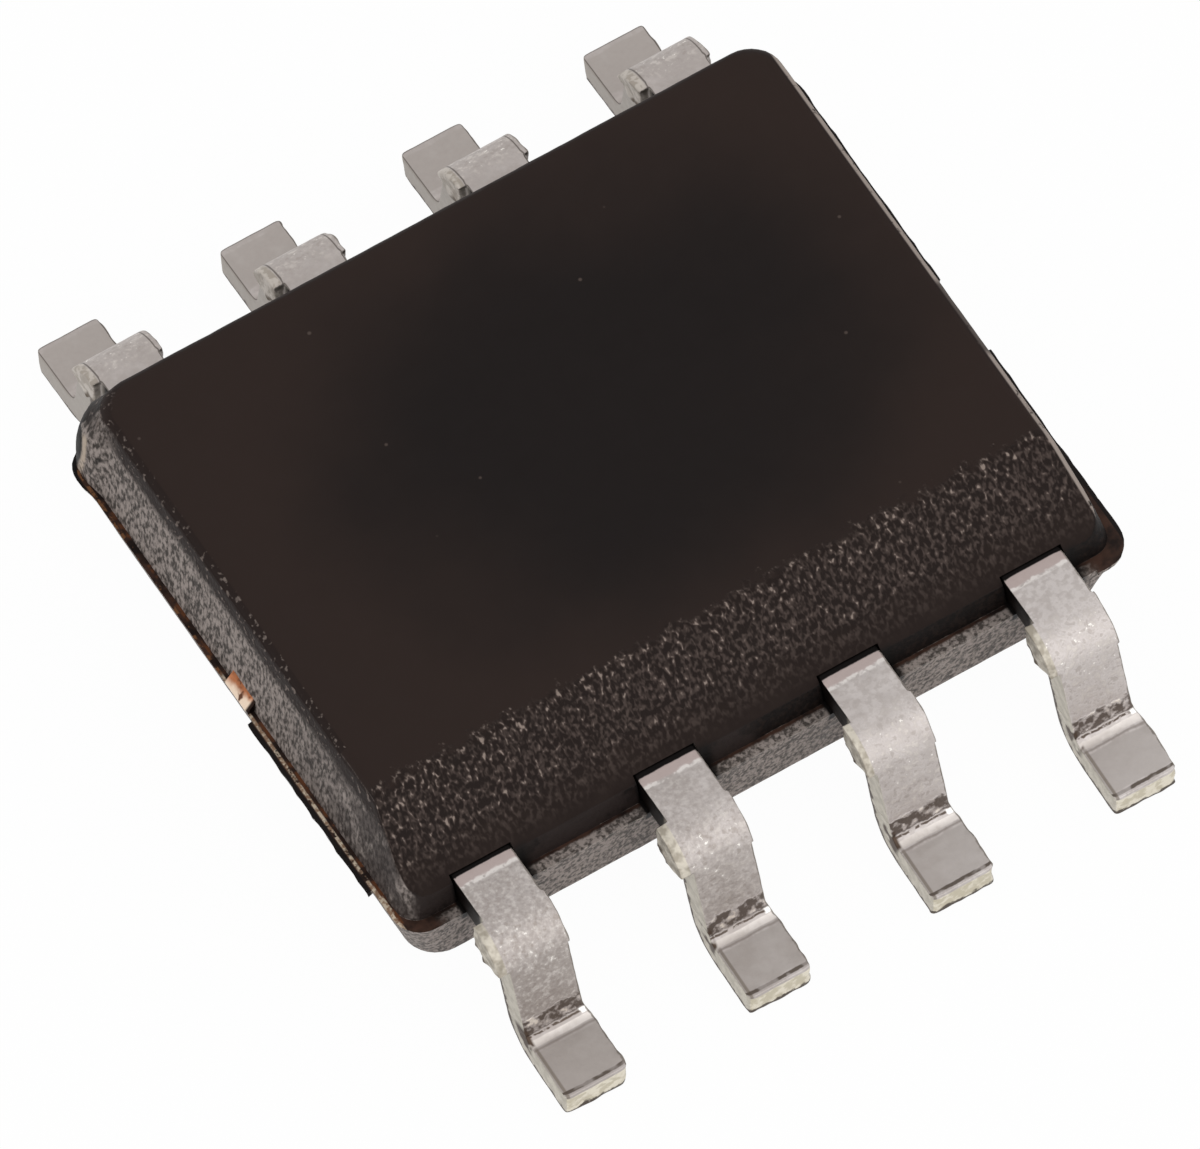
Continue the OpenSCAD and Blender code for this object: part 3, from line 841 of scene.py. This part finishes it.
# %% [markdown]
# Where the moulds meet, resin creeps into the crack and sets as a thin fin, called flash.
# Some of it broke off when the chip was cut from its frame, so it stands in stretches: one
# beside lead 1, one beside lead 5, and one that turns the corner beside lead 4, where only
# half of its reach is left. Each is a strip of the lower wall, scored and pushed outwards.

# %% Flash at the parting line
FLASH = {"beside lead 1": (-1, -1.57, -0.18),      # which end wall, and from where to where
         "beside lead 5": (1, 0.24, 1.89),
         "beside lead 4": (1, -3.0, -0.34)}
FLASH_TURN_X = 2.266           # the third stretch turns the corner and runs on to here
FRONT_SHARE = 0.5
HAIR = 0.001                   # what lies closer than this counts as the same place
cut_through(skin, (0, 0, parting - flash_t), (0, 0, 1))
for _, *limits in FLASH.values():
    for y_limit in limits:
        cut_through(skin, (0, y_limit, 0), (0, 1, 0))
cut_through(skin, (FLASH_TURN_X, 0, 0), (1, 0, 0))

for name, (end, y_from, y_to) in FLASH.items():
    wall = []
    for face in skin.faces:
        middle = face.calc_center_median()
        if (y_from < middle.y < y_to and end * middle.x > FLASH_TURN_X
                and abs(face.normal.z) < 0.5 and parting - flash_t < middle.z < parting):
            wall.append(face)
    bmesh.ops.inset_region(skin, faces=wall, thickness=0, depth=flash_reach, use_even_offset=True)
    print("flash", name, "from", len(wall), "faces")
for v in skin.verts:
    if v.co.y < -half_width - HAIR:
        v.co.y = -half_width - (-half_width - v.co.y) * FRONT_SHARE

# %% [markdown]
# The big faces are scored into a grid, so that there are points to move, and every point
# then shifts along its own normal by a little smooth noise. Walls and rims wander by a few
# micrometres. The flash, which tore, wanders more. The corner beside lead 8 is also swollen,
# by resin that stuck to it before it had set, so its wall is pushed out in one soft lump.

# %% Grid, noise and soft steps
def score_grid(bm, low, high, spacing):
    """Score the faces along all three axes, with lines about this far apart."""
    for axis in range(3):
        count = int((high[axis] - low[axis]) / spacing)
        normal = Vector((axis == 0, axis == 1, axis == 2))
        for k in range(1, count):
            cut_through(bm, normal * (low[axis] + (high[axis] - low[axis]) * k / count), normal)


def ripple(point, size):
    """Smooth noise from -1 to 1 with blotches of this size, the same at every run."""
    return noise.noise(point / size) + 0.5 * noise.noise(point / size * 2.3)


def between(value, start, end):
    """0 before start, 1 after end, and a soft step between them."""
    t = min(1, max(0, (value - start) / (end - start)))
    return t * t * (3 - 2 * t)


# %% Unevenness and the swollen corner
GRID = 0.06
WAVE = 0.11                    # how wide a ripple of the walls is
WALL_WANDER = 0.002            # how far the walls wander
PARTING_WANDER = 0.004         # what the parting line adds
PARTING_BAND = 0.04            # and how far from it that fades
TORN_LEFT, TORN_RIGHT = 0.011, 0.003       # what the flash of either end adds
BEYOND = 0.01                  # what stands this far past the rim is flash
LUMP_AXIS = 0.35               # the swelling grows from a line this far inside both walls
LUMP_FOOT, LUMP_MORE = 0.018, 0.064        # its reach at its foot, and what its top adds
LUMP_COSINES = (0.72, 0.92)    # how it grows from its edges to the corner's diagonal


def swelling(point):
    """How far, and which way, the swollen corner beside lead 8 moves a point of the wall."""
    outward = Vector((point.x + half_length - LUMP_AXIS, point.y - half_width + LUMP_AXIS, 0))
    if outward.x > 0 or outward.y < 0 or outward.length < 0.1:
        return Vector()
    outward.normalize()
    towards = between(outward.dot(Vector((-1, 1, 0)).normalized()), *LUMP_COSINES)
    reach = LUMP_FOOT + LUMP_MORE * between(point.z, parting - 0.1, LUMP_TOP - 0.05)
    fade = (between(point.z, parting - flash_t - 0.03, parting - flash_t)
            * between(point.z, top, LUMP_TOP))
    return outward * reach * towards * fade


score_grid(skin, body_low, body_high, GRID)
skin.normal_update()
for v in skin.verts:
    near_parting = max(0, 1 - abs(v.co.z - parting + flash_t / 2) / PARTING_BAND)
    on_flash = abs(v.co.x) > half_length + BEYOND or v.co.y < -half_width - BEYOND
    torn = TORN_LEFT if v.co.x < 0 else TORN_RIGHT
    amount = WALL_WANDER + PARTING_WANDER * near_parting + torn * on_flash
    v.co += v.normal * amount * ripple(v.co, WAVE) + swelling(v.co)

bmesh.ops.recalc_face_normals(skin, faces=skin.faces[:])
report("uneven body", skin)
make_piece("moulding", skin, "mould_body", resin)

# %% [markdown]
# ## The leads
#
# A lead begins as a flat finger of the stamped frame. After moulding a punch bends what
# stands out of the body down, out and flat again. Here the end face of the strip makes the
# same trip: it is extruded a step at a time, straight on for the shoulder, round an axis for
# a bend, straight on for the riser. The end face is scored into cells first, so every step
# leaves a ring of small faces that can carry marks.

# %% Walk the end face along the path
def step_on(bm, end, matrix, along, strip):
    """Extrude the end faces, move them by the matrix and note how far along they now are."""
    points, faces = extrude(bm, end)
    bmesh.ops.transform(bm, matrix=matrix, verts=points)
    for v in points:
        v[strip].x = along
    return faces


def walk(bm, end, strip, start, length, direction, steps):
    """Straight on: the same small shift again and again."""
    shift = Matrix.Translation(Vector(direction).normalized() * length / steps)
    for k in range(steps):
        end = step_on(bm, end, shift, start + length * (k + 1) / steps, strip)
    return end


def turn(bm, end, strip, start, angle, centre, steps):
    """Round a bend: the same small turn about an axis across the strip."""
    centre = Matrix.Translation(Vector(centre))
    small = centre @ Matrix.Rotation(angle / steps, 4, "X") @ centre.inverted()
    for k in range(steps):
        end = step_on(bm, end, small, start + abs(angle) * mid_r * (k + 1) / steps, strip)
    return end

# %% [markdown]
# Inside the resin each lead ends in a post, where its gold wire lands. The posts of leads 2,
# 3, 6 and 7 lie straight ahead of the lead. Those of the corner leads reach in along the
# body's ends. The post is a box, scored along the strip's two sides, and the strip grows
# out of the middle of its outer face.

# %% A lead, flat at first and then formed
# A post's left and right edge, from the lead's axis, then its near and far edge, from the
# body's middle. The corner leads' posts reach towards the middle, from either end.
INNER_POST = (-0.38, 0.38, 1.20, 1.52)
CORNER_POST = {1: (-0.505, lead_w / 2, 0.38, 1.18), -1: (-lead_w / 2, 0.505, 0.38, 1.18)}
ACROSS, THROUGH = 12, 6        # cells across the strip and through it
OUTSIDE = 0.01                 # from here along the strip is surely out of the resin
towards_toe = Vector((0, math.cos(foot_angle), -math.sin(foot_angle)))
STEPS = {"in the resin": 6, "shoulder": 11, "bend": 10, "riser": 17, "foot": 13}


def post_box(bm, left, right, near, far):
    """The post's box, scored so that its far face holds the strip's cells."""
    made = bmesh.ops.create_cube(bm, size=1)["verts"]
    bmesh.ops.scale(bm, vec=(right - left, far - near, lead_t), verts=made)
    bmesh.ops.translate(bm, vec=((left + right) / 2, (near + far) / 2, mid_z), verts=made)
    for k in range(ACROSS + 1):
        cut_through(bm, (lead_w * (k / ACROSS - 0.5), 0, 0), (1, 0, 0))
    for k in range(1, THROUGH):
        cut_through(bm, (0, 0, parting + lead_t * k / THROUGH), (0, 0, 1))
    return [f for f in bm.faces if f.normal.y > 0.9 and abs(f.calc_center_median().x) < lead_w / 2]


def flat_lead(bm, strip, post):
    """The post and the strip, all the way to the toe, with square edges."""
    far = post[3]
    end = post_box(bm, *post)
    for v in bm.verts:
        v[strip] = (far - wall_y, v.co.x, v.co.z - parting)
    straight = Vector((0, 1, 0))
    end = walk(bm, end, strip, far - wall_y, wall_y - far, straight, STEPS["in the resin"])
    end = walk(bm, end, strip, 0, SHOULDER, straight, STEPS["shoulder"])
    centre = Vector((0, shoulder_y, mid_z - mid_r))
    end = turn(bm, end, strip, SHOULDER, -riser_angle, centre, STEPS["bend"])
    down = Vector((0, math.cos(riser_angle), -math.sin(riser_angle)))
    end = walk(bm, end, strip, FIRST_BEND, riser_l, down, STEPS["riser"])
    out = Vector((0, math.sin(riser_angle), math.cos(riser_angle)))
    heel = centre + out * 2 * mid_r + down * riser_l
    end = turn(bm, end, strip, RISER, riser_angle - foot_angle, heel, STEPS["bend"])
    walk(bm, end, strip, SECOND_BEND, foot_l, towards_toe, STEPS["foot"])

# %% [markdown]
# In the frame a bar joined all leads of a row and kept the resin in while it was moulded.
# Cutting that dam bar off leaves a stump on each side of every lead, wider on one side,
# since the punch is never quite centred. The stumps are the strip's own side cells, pushed
# out. Then all edges are rounded, as plating and tumbling round them, and small noise makes
# the stumps lumpy and the toe's sheared edge ragged.

# %% Stumps and the pressed foot
EDGE_R = 0.017
TOE_R = 0.032
TOE_SHARE = 0.8                # how much of the toe's full roundness is left
FOOT_FLARE = 0.026
FLARE_OVER = 0.25              # the flare grows over this length, from the riser's foot
RING = 0.02                    # half a ring of cells, so that whole rings are found


def push_stumps(bm, strip, left, right):
    """Push the strip's side cells out, this far to the left and to the right."""
    for hand, reach in ((-1, left), (1, right)):
        cells = [f for f in bm.faces if f.normal.x * hand > 0.9
                 and abs(abs(f.calc_center_median().x) - lead_w / 2) < HAIR
                 and all(STUMP_START - RING < v[strip].x < STUMP_END + RING for v in f.verts)]
        points, _ = extrude(bm, cells)
        bmesh.ops.translate(bm, vec=(hand * reach, 0, 0), verts=points)
        for v in points:
            v[strip].y = v.co.x


def press_foot(bm, strip):
    """Round the toe's two corners in plan, and let the foot flare a little to one side."""
    for v in bm.verts:
        along, across, _ = v[strip]
        corner = max(0, abs(across) - (lead_w / 2 - TOE_R)) / TOE_R
        near_toe = max(0, along - (TOE - 2 * TOE_R)) / (2 * TOE_R)
        arc = 1 - math.sqrt(1 - min(1, corner) ** 2)
        v.co -= towards_toe * TOE_R * arc * near_toe * TOE_SHARE
        flared = min(1, max(0, along - RISER) / FLARE_OVER)
        v.co.x += FOOT_FLARE * flared * max(0, across) / (lead_w / 2)

# %% Marks, and a whole lead
DENT = 0.06                    # how wide one dent or lump is
DENT_DEPTH = 0.0025
LUMPY = 0.011                  # deeper on the stumps
RAGGED = 0.010                 # and on the toe's sheared edge
MARK_FADE = 0.03               # both grow over this length
SEED_STEP = 3.1                # takes each lead to another place in the noise


def mark(bm, strip, seed):
    """Shift the points outside the body by noise: fine all over, coarse on stumps and toe."""
    bm.normal_update()
    for v in bm.verts:
        along, _, height = v[strip]
        if along < OUTSIDE:
            continue
        stump = max(0, abs(v.co.x) - lead_w / 2) / MARK_FADE
        shear = max(0, 1 - (TOE - along) / MARK_FADE) * max(0, 1 - height / lead_t)
        amount = DENT_DEPTH + LUMPY * min(1, stump) + RAGGED * shear
        v.co += v.normal * amount * ripple(v.co + seed, DENT)
        v.co.z = max(v.co.z, 0)


def lead_mesh(n):
    """Lead n in its place: post, strip, stumps, rounded edges and marks."""
    bm = bmesh.new()
    strip = bm.verts.layers.float_vector.new("strip")
    inner = abs(lead_x[n]) < 1
    flat_lead(bm, strip, INNER_POST if inner else CORNER_POST[math.copysign(1, lead_x[n])])
    push_stumps(bm, strip, STUMP_LEFT[n], FRONT_STUMP_RIGHT if row_side[n] < 0 else STUMP_RIGHT)
    corners = [e for e in bm.edges if e.calc_face_angle(0) > math.radians(50)
               and max(v[strip].x for v in e.verts) > OUTSIDE]
    bmesh.ops.bevel(bm, geom=corners, affect="EDGES", offset=EDGE_R, segments=2, profile=0.5,
                    material=-1, clamp_overlap=True)
    press_foot(bm, strip)
    mark(bm, strip, Vector((n * SEED_STEP, 0, 0)))
    bmesh.ops.translate(bm, vec=(lead_x[n], 0, 0), verts=bm.verts[:])
    if row_side[n] < 0:
        bmesh.ops.scale(bm, vec=(1, -1, 1), verts=bm.verts[:])
    bmesh.ops.recalc_face_normals(bm, faces=bm.faces[:])
    report(f"lead {n}", bm)
    return bm


# %% Make the eight leads
for n in LEADS:
    lead = make_piece(f"tinned_lead_{n}", lead_mesh(n), f"lead_{n}", tin, crease=50)
    smooth = lead.modifiers.new("rounding", "SUBSURF")
    smooth.levels = smooth.render_levels = 1

# %% [markdown]
# ## What the resin hides
#
# The pad, the die, its glue and the wires keep their solids. They still get real finishes,
# because someone who cuts the part open, or lifts the body off in a model, will see them.
# Only the pad's two tie bars come to the surface: a cut copper end in each end wall.

# %% Copper
copper, place, facing = new_finish("bare copper")
rolled = place.scaled(2.0, 40.0, 40.0).noise(1.0, 3)
blotch = place.noise(6, 3, 0.6)
metal = blotch.rise(0.3, 0.7).paint((196, 128, 88), (150, 92, 60))
x, y, z = place.split()
cut_end = abs(x).rise(half_length - 0.09, half_length - 0.07)
torn = place.noise(14, 2, 0.6)
# A painted highlight: a pale cream edge on each tie bar's cut end.
outer = (abs(x).shaken(torn, 0.05) - y * 0.12).rise(half_length - 0.050, half_length - 0.010)
metal = (cut_end * outer).paint(metal, (236, 214, 192))
metal = (cut_end * torn.rise(0.44, 0.32)).paint(metal, (96, 62, 44))
metal = (cut_end * y.rise(-0.095, -0.115)).paint(metal, (40, 26, 20))
metal = (cut_end * x.rise(0, 1)).paint(metal, (34, 25, 22))
lay_on(copper, {"Metallic": 0.9}, {"Base Color": metal, "Roughness": 0.3 + 0.25 * blotch},
       rolled, 0.003)

# %% Silver glue
glue, place, facing = new_finish("silver glue")
flakes = place.noise(60, 2, 0.7)
lay_on(glue, {"Metallic": 0.6},
       {"Base Color": flakes.rise(0.4, 0.6).paint((150, 148, 144), (205, 203, 198)),
        "Roughness": 0.35 + 0.3 * flakes}, flakes, 0.004)

# %% Silicon
silicon, place, facing = new_finish("silicon")
blocks = place.node("TexBrick", {"offset": 0.35, "squash": 1.4, "squash_frequency": 3},
                    {"Vector": place, "Color1": chart(64, 70, 88), "Color2": chart(104, 98, 112),
                     "Mortar": chart(168, 152, 120), "Scale": 6.0, "Mortar Size": 0.012,
                     "Brick Width": 0.9, "Row Height": 0.45})
sawn = place.noise(30, 3, 0.6)
upward = facing.split()[2].rise(0.5, 0.9)
lay_on(silicon, {"IOR": 2.2},
       {"Base Color": upward.paint((96, 97, 102), blocks), "Roughness": 0.45 - 0.25 * upward},
       sawn * (1 - upward), 0.003)

# %% Gold wire
gold, place, facing = new_finish("gold wire")
drawn = place.noise(50, 2, 0.6)
lay_on(gold, {"Metallic": 1.0},
       {"Base Color": drawn.rise(0.3, 0.7).paint((226, 178, 92), (240, 200, 120)),
        "Roughness": 0.18 + 0.15 * drawn}, drawn, 0.001)

# %% [markdown]
# The tie bars were nipped off by the tool that cut the chip out of its frame. It came down
# at a slant, so the ends lean in towards the top. A copy of the pad's solid is cut the same
# way at both ends, and each opening is closed with one face.

# %% The pad, its tie bars nipped off
NIP_LOW = parting + 0.02       # where the slant starts
NIP_LEAN = 1.2                 # how far the cut leans, against 1 of height
pad = bmesh.new()
pad.from_mesh(frame["nodes"]["die_pad"].data)
bmesh.ops.scale(pad, vec=(1 / MM, 1 / MM, 1 / MM), verts=pad.verts[:])
bmesh.ops.remove_doubles(pad, verts=pad.verts[:], dist=0.0001)
for end in (-1, 1):
    edges = cut_off(pad, (end * half_length, 0, NIP_LOW), (end * NIP_LEAN, 0, 1))
    bmesh.ops.contextual_create(pad, geom=edges)
bmesh.ops.recalc_face_normals(pad, faces=pad.faces[:])
report("pad", pad)
make_piece("copper_pad", pad, "die_pad", copper)

# %% Dress the hidden solids
INSIDE = {"die_glue": glue, "silicon_die": silicon}
INSIDE.update({f"bond_wire_{n}": gold for n in LEADS})
for node, finish in INSIDE.items():
    slots = frame["nodes"][node].data.materials
    slots.clear()
    slots.append(finish)
print("dressed", len(INSIDE), "solids")
